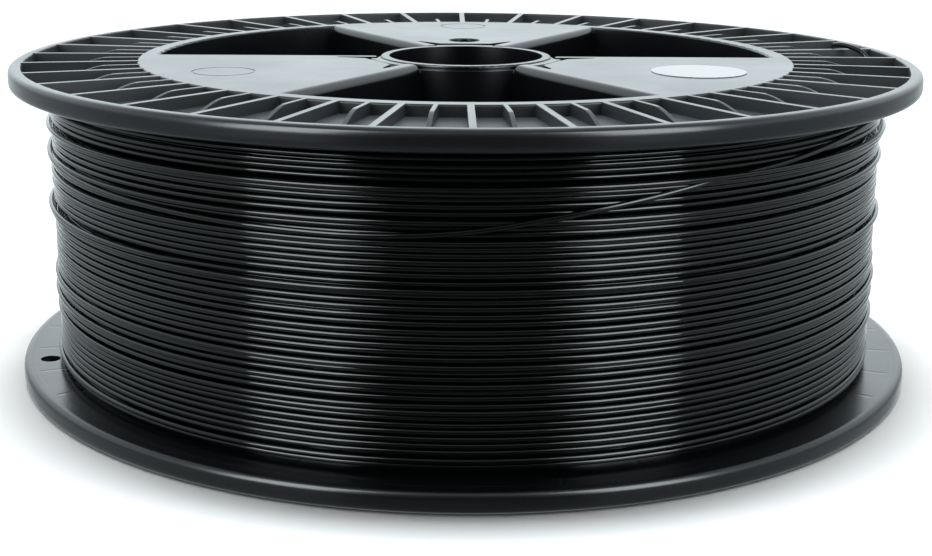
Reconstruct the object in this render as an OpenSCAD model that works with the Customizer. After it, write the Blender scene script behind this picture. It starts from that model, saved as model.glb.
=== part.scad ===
// Large 3D-printing filament spool, full: two moulded halves that snap
// together over the hub, one continuous filament wound on the barrel, and a
// bare round label.  Millimetres.  The bore runs along +Z and the lower
// flange rests on z = 0.

/* [Spool] */
// Diameter of both flanges
flange_d = 300; // [298:1:306]
// Width over the outer faces of the flanges
spool_w = 103; // [98:1:108]
// Diameter of the arbor bore
bore_d = 52; // [50:0.5:53]
// Diameter of the barrel that the filament is wound on
barrel_d = 212; // [206:1:216]

/* [Flange] */
// Height of the rim, the thickest part of a flange
flange_t = 6.5; // [6:0.1:8]
// Thickness of the flange plate between the ribs
plate_t = 2.9; // [2:0.1:3.5]
// Thickness of the upright rim wall
rim_wall = 4.1; // [3.8:0.1:4.5]
// Rounding between the inner face and the rim
rim_edge_r = 2.8; // [1:0.1:3]
// Large rounding between the rim's outside and its free edge
rim_top_r = 2.8; // [2:0.1:3]
// Rounding of the crown's free edges and of the rim's inner one
tip_r = 0.6; // [0.2:0.1:0.9]
// Width of the raised crown ring outside the barrel
crown_w = 3.4; // [2:0.1:5]

/* [Ribs] */
// Number of long ribs, with a short rib between each two
rib_count = 36; // [24:6:48]
// Thickness of a long rib
long_rib_t = 2; // [1.4:0.1:2.6]
// Thickness of a short rib
short_rib_t = 1.3; // [0.8:0.1:2]
// Length of a short rib's straight top edge
short_rib_flat = 10; // [4:0.5:12]
// Length over which a short rib sweeps down to the plate
short_rib_fall = 15; // [8:0.5:16]

/* [Spokes] */
// Number of box spokes, and of windows between them
spoke_count = 3; // [3:1:3]
// Thickness of a spoke's face plate
face_t = 3; // [2.4:0.1:3.6]
// Thickness of a spoke's side walls
side_t = 2.5; // [1.8:0.1:3]
// Rounding along a spoke's edges
spoke_edge_r = 2.7; // [1.5:0.1:3.5]
// Wall of the barrel
barrel_wall = 2.2; // [1.8:0.1:2.8]
// Diameter of the drive hole
drive_d = 11; // [9:0.5:12]
// Distance of the drive hole from the bore's axis
drive_at = 44.5; // [44:0.5:60]
// Width of a spoke's edge beside its snap tongue
tongue_edge = 5.4; // [5:0.1:6]
// Width of a snap tongue's free edge
tongue_w = 18; // [16:0.5:20]

/* [Hub] */
// Wall of the hub tube
hub_wall = 2.8; // [2:0.1:3.4]
// Wall of the upper half's sleeve round the hub tube
sleeve_wall = 1.2; // [1:0.1:1.8]
// How far the sleeve's end lies below the hub's end
sleeve_drop = 1.4; // [1.2:0.1:2]
// How far the latch heads lie below the hub's end
head_drop = 0.3; // [0.2:0.1:0.6]
// Thickness of a latch arm
latch_t = 1.6; // [1.4:0.1:2.2]
// How far a latch head hooks out past its arm
latch_hook = 1.2; // [1:0.1:1.8]
// Height of a latch head
latch_head = 3; // [2.4:0.1:3.4]
// Clearance between a latch head's ends and the spoke's edges
latch_gap = 0.5; // [0.3:0.1:1.2]
// Clearance between parts that slide together
fit_gap = 0.2; // [0.1:0.05:0.3]

/* [Filament] */
// Diameter of the filament
filament_d = 1.75; // [1.5:0.05:2]
// Diameter over the outer turns
wound_d = 273.6; // [260:0.2:274]
// Turns laid from the lower to the upper flange
turns = 23; // [18:1:23]
// Diameter of the holes near the rim that hold the filament's end
end_hole_d = 6.4; // [4.5:0.1:7]
// Distance of those holes from the inside of the rim wall
end_hole_in = 4.4; // [3.8:0.1:4.7]
// Height of the resting filament end above the upper flange
tail_rise = 1.5; // [1.4:0.1:4]

/* [Label] */
// Diameter of the bare round label
label_d = 30; // [20:1:36]
// Thickness of the label
label_t = 0.2; // [0.1:0.05:0.4]
// Distance of the label from the bore's axis
label_at = 83; // [78:1:86]

/* [Hidden] */
$fn = 144;
eps = 0.02;

flange_r = flange_d / 2;
barrel_r = barrel_d / 2;
barrel_in = barrel_r - barrel_wall;
crown_r = barrel_r + crown_w;
rim_in = flange_r - rim_wall;
rim_round = min(rim_top_r, rim_wall - tip_r - 0.1, flange_t - rim_edge_r - 0.1);
bore_r = bore_d / 2;
hub_r = bore_r + hub_wall;
sleeve_in = hub_r + fit_gap;
sleeve_r = sleeve_in + sleeve_wall;
mid_z = spool_w / 2;
face_z = spool_w - flange_t;      // inner face of the upper flange
plate_z = face_z + plate_t;       // floor between the upper flange's ribs
sleeve_z = spool_w - sleeve_drop;
hub_relief = 0.3;                 // step of the spokes' faces round the sleeve

// the joint between the barrel halves: a lip on the outside of the lower one
lip_h = 3;
lip_t = barrel_wall / 2;

// spokes stand at 90, 210 and 330 degrees; the windows lie between them
spoke_az = [for (i = [0 : spoke_count - 1]) 90 + i * 360 / spoke_count];
spoke_half = 90 / spoke_count;
drive_az = spoke_az[0];
label_az = spoke_az[2] + 2;

// latch arms of the lower half, and the slotted tongue that each one catches
arm_in = sleeve_r + fit_gap;
arm_r = arm_in + latch_t;
hook_r = arm_r + latch_hook;
head_z = spool_w - head_drop;
hook_z = head_z - latch_head;
head_in = hub_r + fit_gap + 0.15; // the head reaches in over the sleeve's end
head_lip = sleeve_drop - head_drop - 0.3;
latch_half = spoke_half - asin((tongue_edge + latch_gap) / head_in);
tongue_x = hook_r + 0.7;          // straight free edge of the tongue
ledge_x = arm_r + 0.5;            // the ledge that snaps under the latch head
ledge_l = tongue_x + 2.6 - ledge_x;
ledge_w = tongue_w - 4;
ledge_t = 3;
slot_x = tongue_x + 6.4;          // outer end of the slots
slot_w = 1.3;                     // and their width there
drive_chamfer = 0.5;

// bare insert marks of the mould on the upper spokes: azimuth, distance, diameter
marks = [[spoke_az[0], 93, 18], [spoke_az[1], 88, 20]];
mark_line = 0.6;
mark_deep = 0.15;

// holes for the filament's end, one pair on opposite sides of each flange
end_hole_r = rim_in - end_hole_in;
upper_hole_az = 180 / rib_count;
lower_hole_az = 3 * upper_hole_az;

// winding
rings = 24;                       // rings in one loop
sides = 6;
step = 360 / rings;
wire_r = filament_d / 2;
turn_r = wound_d / 2 - wire_r;
lay_gap = 0.45;                   // between a strand and one that it crosses
over_r = turn_r + filament_d + lay_gap;
flange_gap = 0.3;
first_z = flange_t + flange_gap + wire_r;
last_z = face_z - flange_gap - wire_r;
pitch = (last_z - first_z) / turns;
// chords between rings dip inwards, so the core stays clear of their middles
core_r = turn_r * cos(step / 2) - wire_r - 0.1;

// a point from its radius, azimuth and height
function cyl(r, az, z) = [r * cos(az), r * sin(az), z];
function mix(a, b, t) = a + (b - a) * t;
// an S-shaped ramp from 0 to 1
function ease(t) = t <= 0 ? 0 : t >= 1 ? 1 : (1 - cos(180 * t)) / 2;

// ---------------------------------------------------------------- flanges

// Cross-section of the upper flange, crown and upper half of the barrel.
module flange_section() {
    translate([barrel_in, mid_z])
        square([barrel_wall, spool_w - tip_r - mid_z]);
    translate([barrel_in, face_z])
        square([flange_r - rim_edge_r - barrel_in, plate_t]);
    // foot of the rim, with its rounding to the inner face
    translate([rim_in, face_z])
        square([rim_wall - rim_edge_r, rim_edge_r + eps]);
    intersection() {
        translate([flange_r - rim_edge_r, face_z + rim_edge_r]) circle(rim_edge_r);
        translate([flange_r - rim_edge_r, face_z]) square(rim_edge_r + eps);
    }
    // upright part of the rim
    translate([rim_in, face_z + rim_edge_r])
        square([rim_wall, flange_t - rim_edge_r - rim_round]);
    // free edge of the rim, narrow and flat, with its large outer rounding
    translate([rim_in, spool_w - rim_round - eps])
        square([rim_wall - rim_round, rim_round + eps - tip_r]);
    translate([rim_in + tip_r, spool_w - rim_round - eps])
        square([rim_wall - rim_round - tip_r, rim_round + eps]);
    translate([rim_in + tip_r, spool_w - tip_r]) circle(tip_r, $fn = 32);
    intersection() {
        translate([flange_r - rim_round, spool_w - rim_round]) circle(rim_round);
        translate([flange_r - rim_round, spool_w - rim_round - eps])
            square(rim_round + 2 * eps);
    }
    // crown
    translate([barrel_in, face_z])
        square([crown_r - barrel_in, flange_t - tip_r]);
    translate([barrel_in + tip_r, face_z])
        square([crown_r - barrel_in - 2 * tip_r, flange_t]);
    for (r = [barrel_in + tip_r, crown_r - tip_r])
        translate([r, spool_w - tip_r]) circle(tip_r, $fn = 32);
}

// Long rib: it ends in the middle of the rim's flat edge.
module long_rib() {
    root = plate_t / 2;
    end = (rim_in + tip_r + flange_r - rim_round) / 2;
    translate([barrel_r, -long_rib_t / 2, face_z + root])
        cube([end - barrel_r, long_rib_t, flange_t - root]);
}

// Short rib: full height at the crown, then an S-shaped sweep to the plate.
module short_rib() {
    steps = 10;
    root_z = face_z + plate_t / 2;
    fall_at = crown_r + short_rib_flat;
    fall_h = spool_w - plate_z;
    sweep = [for (i = [0 : steps])
        [fall_at + short_rib_fall * i / steps, spool_w - fall_h * ease(i / steps)]];
    outline = concat([[barrel_r, root_z], [barrel_r, spool_w]], sweep,
        [[fall_at + short_rib_fall, root_z]]);
    translate([0, short_rib_t / 2, 0])
        rotate([90, 0, 0])
            linear_extrude(short_rib_t) polygon(outline);
}

// ----------------------------------------------------------------- spokes

// Plan of a spoke's face between its rounded edges, along +X.
module face_plan() {
    reach = barrel_r + 40;
    intersection() {
        difference() {
            circle(barrel_in + barrel_wall / 3);
            circle(sleeve_r - sleeve_wall / 2);
        }
        translate([spoke_edge_r / sin(spoke_half), 0])
            polygon([[0, 0],
                [reach * cos(spoke_half), reach * sin(spoke_half)],
                [reach * cos(spoke_half), -reach * sin(spoke_half)]]);
    }
}

// The side wall of a spoke with its rounded top edge; its outer face lies on
// a line through the bore's axis, turned half the spoke's angle.
module spoke_side() {
    start = sleeve_r - sleeve_wall / 2;
    run = barrel_in + barrel_wall / 3 - start;
    top = spool_w - spoke_edge_r;
    rotate([0, 0, spoke_half])
        translate([start, 0, 0]) {
            translate([0, -side_t, mid_z]) cube([run, side_t, top - mid_z]);
            intersection() {
                translate([0, -spoke_edge_r, top])
                    rotate([0, 90, 0]) cylinder(r = spoke_edge_r, h = run);
                translate([-1, -spoke_edge_r - 1, top])
                    cube([run + 2, spoke_edge_r + 2, spoke_edge_r + 1]);
            }
        }
}

module spoke() {
    translate([0, 0, spool_w - face_t])
        linear_extrude(face_t) face_plan();
    spoke_side();
    mirror([0, 1, 0]) spoke_side();
}

// Shallow groove round a bare mould mark.
module mark_groove(az, at, d) {
    rotate([0, 0, az])
        translate([at, 0, spool_w - mark_deep])
            difference() {
                cylinder(d = d, h = 1);
                translate([0, 0, -1]) cylinder(d = d - 2 * mark_line, h = 3);
            }
}

module drive_hole() {
    rotate([0, 0, drive_az])
        translate([drive_at, 0, spool_w - face_t]) {
            translate([0, 0, -1]) cylinder(d = drive_d, h = face_t + 2);
            translate([0, 0, face_t - drive_chamfer])
                cylinder(d1 = drive_d, d2 = drive_d + 4 * drive_chamfer, h = 2 * drive_chamfer);
        }
}

// Opening that frees a spoke's inner end, the tongue: from the hub it follows
// the spoke's edges and narrows into a slot on either side of the tongue.
module tongue_slots() {
    deep = 2 * spoke_edge_r;
    edge_y = slot_x * tan(spoke_half) - tongue_edge / cos(spoke_half);
    side = [[slot_x, edge_y], [slot_x, edge_y - slot_w], [tongue_x, tongue_w / 2]];
    translate([0, 0, spool_w - deep])
        linear_extrude(deep + 1)
            polygon(concat([[tongue_edge / sin(spoke_half), 0]], side,
                [for (i = [2 : -1 : 0]) [side[i].x, -side[i].y]]));
}

// What both halves have, in the upper half's place.
module half_shell(sleeve_bore, hole_az, slotted) {
    difference() {
        union() {
            rotate_extrude() flange_section();
            for (i = [0 : rib_count - 1]) {
                rotate([0, 0, i * 360 / rib_count]) long_rib();
                rotate([0, 0, (i + 0.5) * 360 / rib_count]) short_rib();
            }
            for (az = spoke_az)
                rotate([0, 0, az])
                    difference() {
                        spoke();
                        if (slotted) tongue_slots();
                    }
            translate([0, 0, mid_z]) cylinder(r = sleeve_r, h = sleeve_z - mid_z);
        }
        translate([0, 0, mid_z - 1]) cylinder(r = sleeve_bore, h = spool_w);
        translate([0, 0, sleeve_z]) cylinder(r = sleeve_r + hub_relief, h = spool_w);
        drive_hole();
        for (az = [hole_az, hole_az + 180])
            rotate([0, 0, az])
                translate([end_hole_r, 0, face_z - 1])
                    cylinder(d = end_hole_d, h = plate_t + 2);
    }
}

// -------------------------------------------------------------------- hub

// Hub tube through both halves, with rounded end edges.
module hub_tube() {
    rotate_extrude() {
        translate([bore_r - 1, 0]) square([hub_r - tip_r - bore_r + 1, spool_w]);
        translate([bore_r - 1, tip_r]) square([hub_r - bore_r + 1, spool_w - 2 * tip_r]);
        for (z = [tip_r, spool_w - tip_r])
            translate([hub_r - tip_r, z]) circle(tip_r, $fn = 32);
    }
}

// Lip of the lower barrel half, which centres the upper half's barrel.
module barrel_lip() {
    translate([0, 0, mid_z - eps])
        difference() {
            cylinder(r = barrel_r, h = lip_h + eps);
            translate([0, 0, -1]) cylinder(r = barrel_r - lip_t, h = lip_h + 3);
        }
}

// Latch arm of the lower half: it stands in a spoke, outside the sleeve.
module latch_arm() {
    foot_z = mid_z - 14;
    lead = latch_hook * 0.7;
    rotate([0, 0, -latch_half])
        rotate_extrude(angle = 2 * latch_half)
            polygon([[sleeve_r - 0.4, foot_z], [arm_r, foot_z + latch_t],
                [arm_r, hook_z], [hook_r, hook_z], [hook_r, head_z - lead],
                [hook_r - lead, head_z], [head_in, head_z],
                [head_in, head_z - head_lip], [arm_in, head_z - head_lip],
                [arm_in, mid_z - 0.4], [sleeve_r - 0.4, mid_z - 0.4]]);
}

// Ledge under the tongue's free end; the latch head hooks over it.
module tongue_ledge() {
    top = hook_z - 0.3;
    translate([ledge_x, -ledge_w / 2, top - ledge_t])
        cube([ledge_l, ledge_w, ledge_t]);
    translate([tongue_x, -ledge_w / 2, top - ledge_t])
        cube([ledge_x + ledge_l - tongue_x, ledge_w, spool_w - face_t - top + ledge_t + eps]);
}

// ----------------------------------------------------------------- halves

module lower_half() {
    color("#1b1d1f") {
        difference() {
            union() {
                translate([0, 0, spool_w]) mirror([0, 0, 1])
                    half_shell(hub_r - hub_wall / 2, lower_hole_az, false);
                hub_tube();
                barrel_lip();
            }
            translate([0, 0, -1]) cylinder(r = bore_r, h = spool_w + 2);
        }
        for (az = spoke_az) rotate([0, 0, az]) latch_arm();
    }
}

module upper_half() {
    color("#1b1d1f") {
        difference() {
            half_shell(sleeve_in, upper_hole_az, true);
            for (m = marks) mark_groove(m[0], m[1], m[2]);
            // room for the lower half's lip
            translate([0, 0, mid_z - 1])
                difference() {
                    cylinder(r = barrel_r + 1, h = lip_h + 1 + fit_gap);
                    translate([0, 0, -1])
                        cylinder(r = barrel_r - lip_t - fit_gap, h = lip_h + 4);
                }
        }
        for (az = spoke_az) rotate([0, 0, az]) tongue_ledge();
    }
}

// --------------------------------------------------------------- filament

// Inner layers of the winding, as one plain ring on the barrel.
module filament_core() {
    color("#0c0d0e")
        translate([0, 0, flange_t + eps])
            difference() {
                cylinder(r = core_r, h = face_z - flange_t - 2 * eps);
                translate([0, 0, -1]) cylinder(r = barrel_r + eps, h = spool_w);
            }
}

// Route of the filament's outer layer.  It leaves the core square to it,
// turns along the barrel and is laid up to the upper flange in a steady helix.
start_az = 45;
seat_gap = 0.05;
out_r = core_r + seat_gap + filament_d;     // end of the straight start
bend_r = wire_r + 0.5;
start_run = concat([cyl(core_r + seat_gap, start_az, first_z)],
    [for (a = [0 : 30 : 90])
        cyl(out_r + bend_r * sin(a), start_az + bend_r * (1 - cos(a)) / out_r * 180 / PI, first_z)]);

lift_az = 360 * turns;            // where the helix ends and the last turn goes over it
helix_steps = (lift_az - start_az) / step - 1;
helix_run = [for (i = [1 : helix_steps])
    cyl(turn_r, start_az + i * step, mix(first_z, last_z, i / (helix_steps + 1)))];

// The last turn climbs onto the layer, runs back down over it round the far
// side and lies in a groove between two turns.
groove_turn = floor(0.7 * turns);
groove_az = 195;
lift_out_az = 240;
tail_az = 255;                    // where it leaves the groove and crosses the turns
groove_r = turn_r + sqrt(max(0, pow(filament_d + lay_gap, 2) - pow(pitch / 2, 2))) + 0.05;
function turn_z(n, az) = mix(first_z, last_z, (n * 360 + az - start_az) / (lift_az - start_az));
function groove_z(az) = turn_z(groove_turn, az) + pitch / 2;
back_run = [for (az = [0 : step : groove_az - step])
    let (rise = ease(az / (2 * step)), fall = ease((az - 2 * step) / (groove_az - 2 * step)))
    cyl(mix(turn_r, over_r, rise), az, mix(last_z, groove_z(groove_az), fall))];
groove_run = [for (az = [groove_az : step : tail_az])
    let (sink = ease((az - groove_az) / step) - ease((az - lift_out_az) / (tail_az - lift_out_az)))
    cyl(mix(over_r, groove_r, sink), az, groove_z(az))];

// From there it crosses the turns up to its hole in the upper flange, comes
// up through the hole and lies over the next long rib.
cross_end = 345;
cross_z = last_z - 1;
cross_run = [for (az = [tail_az + step : step : cross_end])
    let (t = (az - tail_az) / (cross_end - tail_az))
    cyl(over_r, az, mix(groove_z(tail_az), cross_z, t * (1.4 - 0.4 * t)))];
hole_az = 360 + upper_hole_az;
function bezier(a, b, c, d, t) =
    a * pow(1 - t, 3) + 3 * b * t * pow(1 - t, 2) + 3 * c * t * t * (1 - t) + d * pow(t, 3);
climb_from = cyl(over_r, cross_end, cross_z);
climb_dir = [-sin(cross_end), cos(cross_end), 0.08];
climb_to = cyl(end_hole_r, hole_az, face_z);
climb_run = [for (i = [1 : 8])
    bezier(climb_from, climb_from + 18 * climb_dir, climb_to - [0, 0, 7], climb_to, i / 8)];
tail_z = spool_w + tail_rise;
tail_from = cyl(end_hole_r, hole_az, plate_z - 0.4);
tail_to = cyl(end_hole_r - 6.6, hole_az + 5.2, tail_z);
tail_last = cyl(end_hole_r - 8.4, hole_az + 6.6, tail_z - 0.3);
tail_run = concat(
    [for (i = [0 : 7])
        bezier(tail_from, tail_from + [0, 0, 4.2], tail_to + cyl(5.5, hole_az - 38, 0.9),
            tail_to, i / 7)],
    [tail_last]);

route = concat(start_run, helix_run, back_run, groove_run, cross_run, climb_run, tail_run);

// Least gap between the last, crossing stretch and the helix, on points four
// to a chord, and between neighbouring turns of the helix.
last_from = len(start_run) + len(helix_run) + 2;
function dense(path, n) = [for (i = [0 : len(path) - 2], k = [0 : n - 1]) mix(path[i], path[i + 1], k / n)];
late = dense([for (i = [last_from : len(route) - 1]) route[i]], 4);
early = dense([for (i = [max(0, last_from - 12 * rings) : last_from - 4]) route[i]], 4);
cross_gap = min([for (a = late, b = early) norm(a - b)]) - filament_d;
turn_gap = min([for (i = [0 : last_from - rings - 1]) norm(route[i + rings] - route[i])]) - filament_d;
echo(least_gap_between_turns = turn_gap, least_gap_where_the_end_crosses = cross_gap);

// the part of v that is square to d, at unit length
function level(v, d) = let (w = v - (v * d) * d) w / norm(w);

// Sweeps a many-sided tube along a path, with its section carried along
// without twist.
module tube(path, r) {
    n = len(path);
    dirs = [for (i = [0 : n - 1])
        let (a = path[max(0, i - 1)], b = path[min(n - 1, i + 1)]) (b - a) / norm(b - a)];
    normals = [for (i = 0, v = [0, 0, 1]; i < n;
            v = level(v, dirs[min(i + 1, n - 1)]), i = i + 1) v];
    points = [for (i = [0 : n - 1], k = [0 : sides - 1])
        let (u = normals[i], w = cross(dirs[i], u), a = 360 * k / sides)
        path[i] + r * (cos(a) * u + sin(a) * w)];
    walls = [for (i = [0 : n - 2], k = [0 : sides - 1])
        let (a = i * sides + k, b = i * sides + (k + 1) % sides)
        each [[a, a + sides, b], [b, a + sides, b + sides]]];
    caps = [for (k = [1 : sides - 2])
        each [[0, k, k + 1], [(n - 1) * sides, (n - 1) * sides + k + 1, (n - 1) * sides + k]]];
    polyhedron(points, concat(walls, caps));
}

module filament_winding() {
    color("#0c0d0e") tube(route, wire_r);
}

// ------------------------------------------------------------------ label

module round_label() {
    color("#f4f4f2")
        rotate([0, 0, label_az])
            translate([label_at, 0, spool_w])
                cylinder(d = label_d, h = label_t);
}

lower_half();
upper_half();
filament_core();
filament_winding();
round_label();
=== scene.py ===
import math
import bmesh
import bpy
import numpy as np
from mathutils import Matrix, Vector


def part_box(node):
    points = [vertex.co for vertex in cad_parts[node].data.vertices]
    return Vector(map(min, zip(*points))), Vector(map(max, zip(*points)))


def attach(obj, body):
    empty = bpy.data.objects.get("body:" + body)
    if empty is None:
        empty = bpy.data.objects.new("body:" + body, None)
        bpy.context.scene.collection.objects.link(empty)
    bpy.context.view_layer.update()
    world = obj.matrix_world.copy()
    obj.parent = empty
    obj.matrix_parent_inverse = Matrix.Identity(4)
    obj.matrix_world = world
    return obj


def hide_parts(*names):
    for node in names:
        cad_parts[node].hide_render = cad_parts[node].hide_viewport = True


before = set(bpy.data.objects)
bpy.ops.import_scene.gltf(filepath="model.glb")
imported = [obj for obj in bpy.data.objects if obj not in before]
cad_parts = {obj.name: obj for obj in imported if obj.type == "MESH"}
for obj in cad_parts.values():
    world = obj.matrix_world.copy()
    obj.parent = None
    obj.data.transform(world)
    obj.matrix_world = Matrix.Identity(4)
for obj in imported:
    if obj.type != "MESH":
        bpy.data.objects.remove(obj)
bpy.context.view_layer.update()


# ---------------------------------------------------------------- studio
# A wide white card lies under the spool.  Two softboxes stand in front of
# it, left and right, with a dark gap between them for the camera, and a
# small strip light hangs overhead.

MM = 0.001
CAMERA_AT = Vector((-0.00718, -0.54307, 0.17041))
CAMERA_TILT = math.radians(90 - 13.349)
CAMERA_YAW = math.radians(-0.81)
CAMERA_ROLL = math.radians(0.418)
CAMERA_SENSOR = 36
CAMERA_LENS = 61.9
CAMERA_SHIFT = -0.05003

camera_data = bpy.data.cameras.new("camera")
camera_data.sensor_width = CAMERA_SENSOR
camera_data.lens = CAMERA_LENS
camera_data.shift_y = CAMERA_SHIFT
camera = bpy.data.objects.new("camera", camera_data)
bpy.context.collection.objects.link(camera)
camera.matrix_world = (Matrix.Translation(CAMERA_AT) @ Matrix.Rotation(CAMERA_YAW, 4, "Z")
                       @ Matrix.Rotation(CAMERA_TILT, 4, "X") @ Matrix.Rotation(CAMERA_ROLL, 4, "Z"))
bpy.context.scene.camera = camera
bpy.context.scene.view_settings.view_transform = "Standard"


def srgb(hex_colour):
    """The linear colour, with alpha, of an sRGB hex value."""
    parts = [int(hex_colour[i:i + 2], 16) / 255 for i in (1, 3, 5)]
    return tuple(c / 12.92 if c <= 0.04045 else ((c + 0.055) / 1.055) ** 2.4 for c in parts) + (1.0,)


def add_node(tree, kind, settings=None, links=None):
    """Adds one node: its properties or input values, and the sockets that feed its inputs."""
    node = tree.nodes.new(kind)
    for name, value in (settings or {}).items():
        if isinstance(name, str) and hasattr(node, name):
            setattr(node, name, value)
        else:
            node.inputs[name].default_value = value
    for name, socket in (links or {}).items():
        tree.links.new(socket, node.inputs[name])
    return node


def new_material(name):
    """An empty material with its node tree and output."""
    material = bpy.data.materials.new(name)
    material.use_nodes = True
    tree = material.node_tree
    tree.nodes.clear()
    return material, tree, add_node(tree, "ShaderNodeOutputMaterial")


# Matt white card, pressed and uncoated: an even white that takes soft
# shadows, and is nowhere quite flat.  The plastic mirrors the room, not it.
# Its noise has no linked coordinates, so one unit of it is the whole floor.
FLOOR_SIZE = 12
CARD_WAVE = 39.6 * MM
card_material, tree, output = new_material("matt_white_card")
wave = add_node(tree, "ShaderNodeTexNoise", {"Scale": FLOOR_SIZE / CARD_WAVE, "Detail": 2.0})
wave_bump = add_node(tree, "ShaderNodeBump", {"Strength": 0.02}, {"Height": wave.outputs["Fac"]})
card = add_node(tree, "ShaderNodeBsdfPrincipled",
                {"Base Color": srgb("#fafafa"), "Roughness": 0.9, "IOR": 1.3},
                {"Normal": wave_bump.outputs["Normal"]})
tree.links.new(card.outputs["BSDF"], output.inputs["Surface"])
bpy.ops.object.select_all(action="DESELECT")
bpy.ops.mesh.primitive_plane_add(size=FLOOR_SIZE)
floor = bpy.context.object
floor.name = "floor"
floor.data.materials.append(card_material)
floor.visible_glossy = False

# Each light: name, azimuth from the camera's side and elevation in degrees,
# distance, width and height in metres, radiance, and whether gloss or matt
# surfaces see it.
LAMP_WHITE = srgb("#f3fcff")[:3]
LIGHTS = (("softbox_left", -43.5, 28, 1.5, 0.68, 1.3, 7.1, "gloss"),
          ("softbox_right", 42.4, 28, 1.5, 0.64, 1.3, 7.1, "gloss"),
          ("strip_above", 0, 88.5, 1.2, 0.45, 0.2, 49.0, "matt"))
for name, azimuth, elevation, distance, width, height, radiance, finish in LIGHTS:
    around = math.radians(azimuth)
    upward = math.radians(elevation)
    towards = Vector((math.sin(around) * math.cos(upward), -math.cos(around) * math.cos(upward),
                      math.sin(upward)))
    lamp = bpy.data.lights.new(name, "AREA")
    lamp.shape = "RECTANGLE"
    lamp.size = width
    lamp.size_y = height
    lamp.color = LAMP_WHITE
    lamp.energy = radiance * math.pi * width * height
    light = bpy.data.objects.new(name, lamp)
    light.location = towards * distance
    light.rotation_euler = towards.to_track_quat("Z", "Y").to_euler()
    light.visible_diffuse = finish == "matt"
    light.visible_glossy = finish == "gloss"
    light.visible_camera = False
    bpy.context.collection.objects.link(light)

# Matt surfaces get their light from a dome that is bright behind the spool.
# What gloss mirrors is the room: dark behind the camera, dim grey at the
# sides, overhead and low down, and a white wall behind the spool.  A
# camera ray that misses the card sees plain white.  Because the two differ,
# the world is met by rays alone and isn't sampled as a lamp.
world = bpy.data.worlds.new("studio")
bpy.context.scene.world = world
world.cycles.sampling_method = "NONE"
world.use_nodes = True
tree = world.node_tree
tree.nodes.clear()
direction = add_node(tree, "ShaderNodeTexCoord")
pointing = add_node(tree, "ShaderNodeSeparateXYZ", {}, {"Vector": direction.outputs["Generated"]})
level = add_node(tree, "ShaderNodeVectorMath", {"operation": "MULTIPLY", 1: (1.0, 1.0, 0.0)},
                 {0: direction.outputs["Generated"]})
compass = add_node(tree, "ShaderNodeVectorMath", {"operation": "NORMALIZE"},
                   {0: level.outputs["Vector"]})
bearing = add_node(tree, "ShaderNodeSeparateXYZ", {}, {"Vector": compass.outputs["Vector"]})
measured = {"backwards": pointing.outputs["Y"], "upwards": pointing.outputs["Z"],
            "bearing": bearing.outputs["Y"]}

# Each brightness runs from one value to another as a measure of the ray's
# direction goes from its start to its end.
BRIGHTNESS = (("dome", "backwards", -0.15, 0.2, 0.04, 2.0),
              ("camera_gap", "bearing", -0.91, -0.84, 0.11, 1.0),
              ("overhead", "upwards", 0.55, 0.8, 0.0, 1.4),
              ("low_down", "upwards", -0.45, -0.2, 0.6, 0.0),
              ("side_walls", "bearing", -0.5, 0.6, 0.37, 0.55),
              ("upper_walls", "upwards", 0.0, 0.3, 1.0, 2.4),
              ("ceiling", "upwards", 0.5, 0.85, 1.0, 0.4),
              ("back_wall", "backwards", 0.75, 0.92, 0.0, 0.78),
              ("back_wall_end", "upwards", 0.25, 0.6, 1.0, 0.0))
bright = {}
for name, measure, start, end, at_start, at_end in BRIGHTNESS:
    ramp = add_node(tree, "ShaderNodeMapRange",
                    {"From Min": start, "From Max": end, "To Min": at_start, "To Max": at_end},
                    {"Value": measured[measure]})
    bright[name] = ramp.outputs["Result"]
# How they go together: the result's name, the operation, and the two it joins.
ROOM = (("sides", "MAXIMUM", "camera_gap", "overhead"),
        ("sides", "MAXIMUM", "sides", "low_down"),
        ("sides", "MULTIPLY", "sides", "side_walls"),
        ("sides", "MULTIPLY", "sides", "upper_walls"),
        ("sides", "MULTIPLY", "sides", "ceiling"),
        ("behind", "MULTIPLY", "back_wall", "back_wall_end"),
        ("room", "ADD", "behind", "sides"))
for name, operation, first, second in ROOM:
    joined = add_node(tree, "ShaderNodeMath", {"operation": operation},
                      {0: bright[first], 1: bright[second]})
    bright[name] = joined.outputs["Value"]

WHITE_BEHIND = 1.1
ray = add_node(tree, "ShaderNodeLightPath")
lit = add_node(tree, "ShaderNodeMix", {},
               {0: ray.outputs["Is Glossy Ray"], 2: bright["dome"], 3: bright["room"]})
strength = add_node(tree, "ShaderNodeMix", {3: WHITE_BEHIND},
                    {0: ray.outputs["Is Camera Ray"], 2: lit.outputs[0]})
tint = add_node(tree, "ShaderNodeMix", {"data_type": "RGBA", 6: srgb("#ffffff"), 7: srgb("#f0fbff")},
                {0: ray.outputs["Is Glossy Ray"]})
studio = add_node(tree, "ShaderNodeBackground", {},
                  {"Color": tint.outputs[2], "Strength": strength.outputs[0]})
add_node(tree, "ShaderNodeOutputWorld", {}, {"Surface": studio.outputs["Background"]})


# ---------------------------------------------------------- spool halves
# Two injection-moulded halves, each a ribbed flange with its part of the
# barrel and hub.  The lower one's latch arms snap behind the upper one's
# slotted tongues.

FLANGE_T = 6.5 * MM
PLATE_T = 2.9 * MM
MIDDLE_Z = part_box("upper_half")[1].z / 2
RIB_STEP = math.radians(10)

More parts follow.
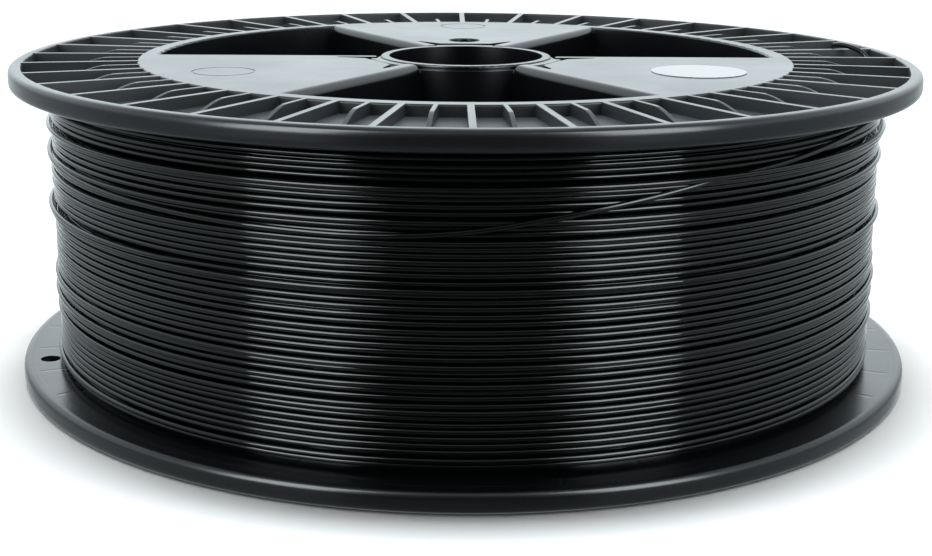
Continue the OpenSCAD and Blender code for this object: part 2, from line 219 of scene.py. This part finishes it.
# Black polystyrene from a polished and finely sparked mould: deep black and
# semi-gloss, with cloudy gloss and a fine grain on the flat faces.  Spark
# grain is about 0.1 mm; it is drawn ten times coarser, so that it shows.
SPARK_GRAIN = 1.1 * MM
GLOSS_CLOUD = 45 * MM
LAND_ROUGH_LOW = 0.21
LAND_ROUGH_HIGH = 0.28
EDGE_ROUND = 0.3 * MM
GRAIN_DEPTH = 0.2 * MM
spool_plastic, tree, output = new_material("moulded_black_polystyrene")
place = add_node(tree, "ShaderNodeTexCoord")
spark = add_node(tree, "ShaderNodeTexNoise",
                 {"Scale": 1 / SPARK_GRAIN, "Detail": 3.0, "Roughness": 0.6},
                 {"Vector": place.outputs["Object"]})
cloud = add_node(tree, "ShaderNodeTexNoise",
                 {"Scale": 1 / GLOSS_CLOUD, "Detail": 4.0, "Roughness": 0.55},
                 {"Vector": place.outputs["Object"]})
gloss = add_node(tree, "ShaderNodeMapRange",
                 {"From Min": 0.3, "From Max": 0.7, "To Min": LAND_ROUGH_LOW, "To Max": LAND_ROUGH_HIGH},
                 {"Value": cloud.outputs["Fac"]})
soft_edge = add_node(tree, "ShaderNodeBevel", {"samples": 6, "Radius": EDGE_ROUND})
skin = add_node(tree, "ShaderNodeBump", {"Strength": 0.04, "Distance": GRAIN_DEPTH},
                {"Height": spark.outputs["Fac"], "Normal": soft_edge.outputs["Normal"]})

# Shallow sink marks run along the flange's smooth face, opposite its long
# ribs.  The pockets between the ribs are sparked, so they are rougher and
# more matt than the polished lands.  Their lighter grey colour is painted
# light: it stands in for the light that reaches the pocket floors and walls
# from overhead.
SINK_HALF = 1.2 * MM
SINK_DEPTH = 0.06 * MM
SINK_FROM = 107 * MM
SINK_TO = 145.5 * MM
POCKET_FROM = 109.3 * MM
POCKET_TO = 145.95 * MM
POCKET_MARGIN = 0.1 * MM
POCKET_FLOOR = MIDDLE_Z - FLANGE_T + PLATE_T - POCKET_MARGIN
POCKET_MOUTH = MIDDLE_Z - POCKET_MARGIN
POCKET_ROUGHER = 0.25
flattened = add_node(tree, "ShaderNodeVectorMath", {"operation": "MULTIPLY", 1: (1.0, 1.0, 0.0)},
                     {0: place.outputs["Object"]})
reach = add_node(tree, "ShaderNodeVectorMath", {"operation": "LENGTH"}, {0: flattened.outputs["Vector"]})
axes = add_node(tree, "ShaderNodeSeparateXYZ", {}, {"Vector": place.outputs["Object"]})
found = {"x": axes.outputs["X"], "y": axes.outputs["Y"], "z": axes.outputs["Z"],
         "radius": reach.outputs["Value"], "gloss": gloss.outputs["Result"]}
# Each step: the result's name, the operation, and the results or numbers it takes.
STEPS = (("azimuth", "ARCTAN2", "y", "x"),
         ("rib_angle", "PINGPONG", "azimuth", RIB_STEP / 2),
         ("rib_distance", "MULTIPLY", "rib_angle", "radius"),
         ("sink", "DIVIDE", "rib_distance", SINK_HALF),
         ("sink", "MINIMUM", "sink", 1.0),
         ("past_barrel", "GREATER_THAN", "radius", SINK_FROM),
         ("before_rim", "LESS_THAN", "radius", SINK_TO),
         ("sink", "MULTIPLY", "sink", "past_barrel"),
         ("sink", "MULTIPLY", "sink", "before_rim"),
         ("off_middle", "SUBTRACT", "z", MIDDLE_Z),
         ("off_middle", "ABSOLUTE", "off_middle"),
         ("past_crown", "GREATER_THAN", "radius", POCKET_FROM),
         ("inside_rim", "LESS_THAN", "radius", POCKET_TO),
         ("above_floor", "GREATER_THAN", "off_middle", POCKET_FLOOR),
         ("below_mouth", "LESS_THAN", "off_middle", POCKET_MOUTH),
         ("pocket", "MULTIPLY", "past_crown", "inside_rim"),
         ("pocket", "MULTIPLY", "pocket", "above_floor"),
         ("pocket", "MULTIPLY", "pocket", "below_mouth"),
         ("roughness", "MULTIPLY", "pocket", POCKET_ROUGHER),
         ("roughness", "ADD", "roughness", "gloss"))
for name, operation, *taken in STEPS:
    numbers = {i: item for i, item in enumerate(taken) if not isinstance(item, str)}
    results = {i: found[item] for i, item in enumerate(taken) if isinstance(item, str)}
    step = add_node(tree, "ShaderNodeMath", {"operation": operation, **numbers}, results)
    found[name] = step.outputs["Value"]
# The pockets' lighter grey is painted light, not the plastic's own colour.
colour_and_painted_light = add_node(tree, "ShaderNodeMix", {"data_type": "RGBA", 6: srgb("#0a0e13"), 7: srgb("#34373a")},
                  {0: found["pocket"]})
sinks = add_node(tree, "ShaderNodeBump", {"Strength": 1.0, "Distance": SINK_DEPTH},
                 {"Height": found["sink"], "Normal": skin.outputs["Normal"]})
plastic = add_node(tree, "ShaderNodeBsdfPrincipled", {"IOR": 1.55},
                   {"Base Color": colour_and_painted_light.outputs[2], "Roughness": found["roughness"],
                    "Normal": sinks.outputs["Normal"]})
tree.links.new(plastic.outputs["BSDF"], output.inputs["Surface"])

# The rim's outside is turned: its wall and both its roundings, all round,
# a little fuller than a true quarter round.  It takes the place of that
# skin on a copy of the half's own mesh.
RIM_SIDES = 360
RIM_ROUND = 2.8 * MM
RIM_STEPS = 12
RIM_FULLNESS = 0.63
CLOSE = 0.01 * MM
CREASE = math.radians(30)
for name in ("lower_half", "upper_half"):
    low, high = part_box(name)
    rim_r = high.x
    rim_high = high.z if name == "upper_half" else low.z + FLANGE_T
    bpy.ops.object.select_all(action="DESELECT")
    bpy.ops.mesh.primitive_cylinder_add(vertices=RIM_SIDES, radius=rim_r, depth=FLANGE_T,
                                        location=(0, 0, rim_high - FLANGE_T / 2), end_fill_type="NGON")
    rim = bpy.context.object
    bpy.ops.object.transform_apply(location=True)
    bpy.ops.object.mode_set(mode="EDIT")
    mesh = bmesh.from_edit_mesh(rim.data)
    for edge in mesh.edges:
        edge.select = abs(edge.verts[0].co.z - edge.verts[1].co.z) < CLOSE
    bpy.ops.mesh.bevel(offset=RIM_ROUND, segments=RIM_STEPS, profile=RIM_FULLNESS, affect="EDGES")
    # the two end discs go
    mesh = bmesh.from_edit_mesh(rim.data)
    for face in mesh.faces:
        face.select = len(face.verts) > 4
    bpy.ops.mesh.delete(type="ONLY_FACE")
    bpy.ops.object.mode_set(mode="OBJECT")
    bpy.ops.object.shade_smooth()

    half = bpy.data.objects.new(name + "_moulded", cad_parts[name].data.copy())
    bpy.context.collection.objects.link(half)
    bpy.ops.object.select_all(action="DESELECT")
    half.select_set(True)
    bpy.context.view_layer.objects.active = half
    bpy.ops.mesh.customdata_custom_splitnormals_clear()
    bpy.ops.object.mode_set(mode="EDIT")
    bpy.ops.mesh.select_all(action="SELECT")
    bpy.ops.mesh.remove_doubles(threshold=CLOSE)
    mesh = bmesh.from_edit_mesh(half.data)
    for face in mesh.faces:
        heights = [v.co.z for v in face.verts]
        face.select = (max(heights) - min(heights) > CLOSE
                       and min(v.co.xy.length for v in face.verts) > rim_r - RIM_ROUND - CLOSE)
    bpy.ops.mesh.delete(type="FACE")
    bpy.ops.object.mode_set(mode="OBJECT")
    bpy.ops.object.shade_smooth_by_angle(angle=CREASE)
    weighted = half.modifiers.new("weighted", "WEIGHTED_NORMAL")
    weighted.keep_sharp = True
    bpy.ops.object.modifier_apply(modifier=weighted.name)
    rim.select_set(True)
    bpy.ops.object.join()
    half.data.materials.clear()
    half.data.materials.append(spool_plastic)
    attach(half, "root")
    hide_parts(name)


# -------------------------------------------------------------- filament
# One strand of black 1.75 mm filament, machine-wound under tension.  Each
# turn beds between the turns below it or climbs over its neighbour, and
# the last turn runs up to a hole in the upper flange.

# Sizes in millimetres: the strand, the room that it keeps to the flanges,
# the outer layer's radius, and the step from one layer to the next, which is
# less than a strand because the turns bed in grooves.
STRAND = 1.75
FLANGE_GAP = 0.1
OUTER_R = 136.6
LAYER_STEP = 1.5
core_low, core_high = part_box("filament_core")
LAYER_LOW = core_low.z / MM + STRAND / 2 + FLANGE_GAP
LAYER_HIGH = core_high.z / MM - STRAND / 2 - FLANGE_GAP
# Counts: points in a turn, turns in each layer, turns in which straying dies
# out at a flange, turns back that a turn may lean on, and rounds of pulling.
PER_TURN = 120
UNDER_TURNS = 50
TOP_TURNS = 47
FADE_TURNS = 1.5
NEIGHBOURS = 4
PULLS = 60
# How the turns stray: a new random value each so many turns, and its size.
UNDER_STRAY = ((1.3, 0.10),)
TOP_STRAY = ((6.0, 0.3), (1.6, 0.26), (0.35, 0.06))
dice = np.random.default_rng(11)


def wander(positions, spacing, size):
    """Smooth random values at the positions, with a knot every spacing."""
    knots = np.arange(positions.min() - 2 * spacing, positions.max() + 3 * spacing, spacing)
    heights = dice.normal(0, size, len(knots))
    at = (positions - knots[0]) / spacing
    knot = at.astype(int)
    past = at - knot
    ease = past * past * (3 - 2 * past)
    return heights[knot] * (1 - ease) + heights[knot + 1] * ease


def pull_tight(support):
    """A strand under tension lies on its supports or runs straight between them."""
    bend = math.cos(2 * math.pi / PER_TURN)
    radius = support
    for _ in range(PULLS):
        middle = (np.roll(radius, 1) + np.roll(radius, -1)) / 2 * bend
        middle[0] = radius[0]
        middle[-1] = radius[-1]
        radius = np.maximum(support, middle)
    return radius


def lay_layer(turns, base, below, stray):
    """Winds one layer on the turns below it; returns each sample's turn count, height and radius."""
    count = turns * PER_TURN + 1
    turn = np.arange(count) / PER_TURN
    z = LAYER_LOW + (LAYER_HIGH - LAYER_LOW) * turn / turns
    fade = np.minimum(1, np.minimum(turn, turns - turn) / FADE_TURNS)
    for spacing, size in stray:
        z = z + wander(turn, spacing, size) * fade
    z = np.clip(z, LAYER_LOW, LAYER_HIGH)
    radius = np.full(count, base, float)
    for start in range(0, count - 1, PER_TURN):
        row = np.arange(start, start + PER_TURN)
        # a turn that nothing holds up sinks by one layer's step
        support = np.full(PER_TURN, base - LAYER_STEP, float)
        rests = [] if below is None else [below]
        for back in range(1, NEIGHBOURS + 1):
            if start - back * PER_TURN >= 0:
                earlier = row - back * PER_TURN
                rests.append((z[earlier][:, None], radius[earlier][:, None]))
        for rest_z, rest_r in rests:
            apart = np.abs(rest_z - z[row][:, None])
            lift = np.sqrt(np.maximum(0, STRAND ** 2 - apart ** 2))
            reach = np.where(apart < STRAND, rest_r + lift, 0).max(axis=1)
            support = np.maximum(support, reach)
        radius[row] = pull_tight(support)
    return turn, z, radius


under_turn, under_z, under_r = lay_layer(UNDER_TURNS, OUTER_R - LAYER_STEP, None, UNDER_STRAY)
# The outer turns are laid on the under layer at its full radius, one step in.
# Its drawn turns lie deeper, so the outer layer stands a little clear of them.
# One row for each azimuth, one column for each turn.
rows = np.arange(PER_TURN)[:, None] + np.arange(UNDER_TURNS)[None, :] * PER_TURN
under_rows = (under_z[rows], np.full(rows.shape, OUTER_R - LAYER_STEP))
top_turn, top_z, top_r = lay_layer(TOP_TURNS, OUTER_R, under_rows, TOP_STRAY)


def to_point(radius, azimuth, height):
    """A place in metres from a radius and height in millimetres and an azimuth in radians."""
    return (radius * math.cos(azimuth) * MM, radius * math.sin(azimuth) * MM, height * MM)


def smooth_route(knots, count):
    """A Catmull-Rom line of so many points through the given knots."""
    knots = [np.array(k, float) for k in knots]
    knots = [2 * knots[0] - knots[1]] + knots + [2 * knots[-1] - knots[-2]]
    spans = len(knots) - 3
    line = []
    for i in range(count):
        at = i / (count - 1) * spans
        k = min(int(at), spans - 1)
        t = at - k
        a, b, c, d = knots[k:k + 4]
        line.append(0.5 * (2 * b + (c - a) * t + (2 * a - 5 * b + 4 * c - d) * t * t
                           + (3 * b - a - 3 * c + d) * t ** 3))
    return line


STRAND_ROUNDING = 2


def add_strand(name, points):
    """A round strand along the points, as a mesh."""
    curve = bpy.data.curves.new(name, "CURVE")
    curve.dimensions = "3D"
    curve.bevel_depth = STRAND / 2 * MM
    curve.bevel_resolution = STRAND_ROUNDING
    curve.use_fill_caps = True
    spline = curve.splines.new("POLY")
    spline.points.add(len(points) - 1)
    spline.points.foreach_set("co", [c for p in points for c in (*p, 1.0)])
    strand = bpy.data.objects.new(name, curve)
    bpy.context.collection.objects.link(strand)
    bpy.ops.object.select_all(action="DESELECT")
    bpy.context.view_layer.objects.active = strand
    strand.select_set(True)
    bpy.ops.object.convert(target="MESH")
    bpy.ops.object.shade_smooth()
    return bpy.context.object


# The under layer shows only in the outer layer's gaps, so every other point
# is enough for it.
under_points = [to_point(r, 2 * math.pi * t, z) for t, z, r in zip(under_turn, under_z, under_r)][::2]
inner_layers = add_strand("inner_layers", under_points)

# The last turn: down over the far side, then up across the front to its hole.
# Knots are azimuth in degrees, radius and height in millimetres.  They don't
# follow the turns below, so the strand sinks into those that stray outwards.
OVER = OUTER_R + STRAND
END_POINTS = 260
last_turn = [(0, OUTER_R, LAYER_HIGH), (12, OUTER_R + 0.9, 94.0), (30, OVER, 92.6), (60, OVER, 89.5),
             (100, OVER, 85.5), (140, OVER, 81.5), (180, OVER, 77.5), (215, OVER, 74.5),
             (240, OVER, 72.9), (255, OVER, 72.4), (262, OVER, 72.7), (270, OVER, 74.2),
             (279, OVER, 77.5), (289, OVER, 81.2), (299, OVER, 84.9), (309, OVER, 87.0),
             (320, OVER, 89.6), (331, OVER, 91.9), (343, OVER + 0.2, 93.4), (354, OVER + 1.6, 94.3),
             (361, OVER + 3.2, 95.2)]
through = [(364.6, 141.3, 96.6), (365, 141.5, 98.2), (365.3, 141.2, 100.4), (366, 140.0, 102.4),
           (367.3, 138.0, 103.9), (369.4, 135.6, 104.6), (371.2, 133.6, 104.2)]
end_route = smooth_route(last_turn + through, END_POINTS)
end_points = [to_point(r, math.radians(a), z) for a, r, z in end_route]
top_points = [to_point(r, 2 * math.pi * t, z) for t, z, r in zip(top_turn, top_z, top_r)]
outer_layer = add_strand("outer_layer", top_points + end_points[1:])

# A plain sleeve, level with the outer side of the inner turns that nothing
# has raised, closes the view between them.
SLEEVE_INSET = 0.6
SLEEVE_R = OUTER_R - LAYER_STEP - SLEEVE_INSET
bpy.ops.object.select_all(action="DESELECT")
bpy.ops.mesh.primitive_cylinder_add(vertices=PER_TURN, radius=SLEEVE_R * MM,
                                    depth=core_high.z - core_low.z,
                                    location=(0, 0, (core_high.z + core_low.z) / 2),
                                    end_fill_type="NOTHING")
sleeve = bpy.context.object
bpy.ops.object.transform_apply(location=True)
bpy.ops.object.shade_smooth()
bpy.ops.object.select_all(action="DESELECT")
sleeve.select_set(True)
inner_layers.select_set(True)
bpy.context.view_layer.objects.active = inner_layers
bpy.ops.object.join()

# Black PLA drawn through a die: smooth and glossy.  Its gloss changes slowly
# along the strand, so each turn shines a little more or less than the next.
ALONG = 110 * MM
ACROSS = 2.4 * MM
STRAND_ROUGH_LOW = 0.05
STRAND_ROUGH_HIGH = 0.16
filament_plastic, tree, output = new_material("extruded_black_pla")
place = add_node(tree, "ShaderNodeTexCoord")
drawn_out = add_node(tree, "ShaderNodeVectorMath",
                     {"operation": "MULTIPLY", 1: (1 / ALONG, 1 / ALONG, 1 / ACROSS)},
                     {0: place.outputs["Object"]})
streak = add_node(tree, "ShaderNodeTexNoise", {"Scale": 1.0, "Detail": 1.0},
                  {"Vector": drawn_out.outputs["Vector"]})
gloss = add_node(tree, "ShaderNodeMapRange",
                 {"From Min": 0.36, "From Max": 0.64,
                  "To Min": STRAND_ROUGH_LOW, "To Max": STRAND_ROUGH_HIGH},
                 {"Value": streak.outputs["Fac"]})
pla = add_node(tree, "ShaderNodeBsdfPrincipled", {"Base Color": srgb("#040505"), "IOR": 1.46},
               {"Roughness": gloss.outputs["Result"]})
tree.links.new(pla.outputs["BSDF"], output.inputs["Surface"])

for piece, solid in ((inner_layers, "filament_core"), (outer_layer, "filament_winding")):
    piece.data.materials.clear()
    piece.data.materials.append(filament_plastic)
    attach(piece, "root")
    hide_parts(solid)


# ----------------------------------------------------------------- label
# A bare round sticker, die-cut from white paper and pressed flat on one
# spoke.  The disc itself has its true shape already.

# Uncoated white paper: bright and matt, with a faint nap.  Its fibres are
# about 0.03 mm thick; they are drawn as 0.7 mm lumps, so that they show.
FIBRE = 0.7 * MM
NAP_DEPTH = 0.1 * MM
label_paper, tree, output = new_material("white_label_paper")
place = add_node(tree, "ShaderNodeTexCoord")
fibre = add_node(tree, "ShaderNodeTexNoise", {"Scale": 1 / FIBRE, "Detail": 4.0},
                 {"Vector": place.outputs["Object"]})
nap = add_node(tree, "ShaderNodeBump", {"Strength": 0.15, "Distance": NAP_DEPTH},
               {"Height": fibre.outputs["Fac"]})
paper = add_node(tree, "ShaderNodeBsdfPrincipled",
                 {"Base Color": srgb("#a6aaab"), "Roughness": 0.6, "IOR": 1.45},
                 {"Normal": nap.outputs["Normal"]})
tree.links.new(paper.outputs["BSDF"], output.inputs["Surface"])
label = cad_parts["round_label"]
label.data.materials.clear()
label.data.materials.append(label_paper)
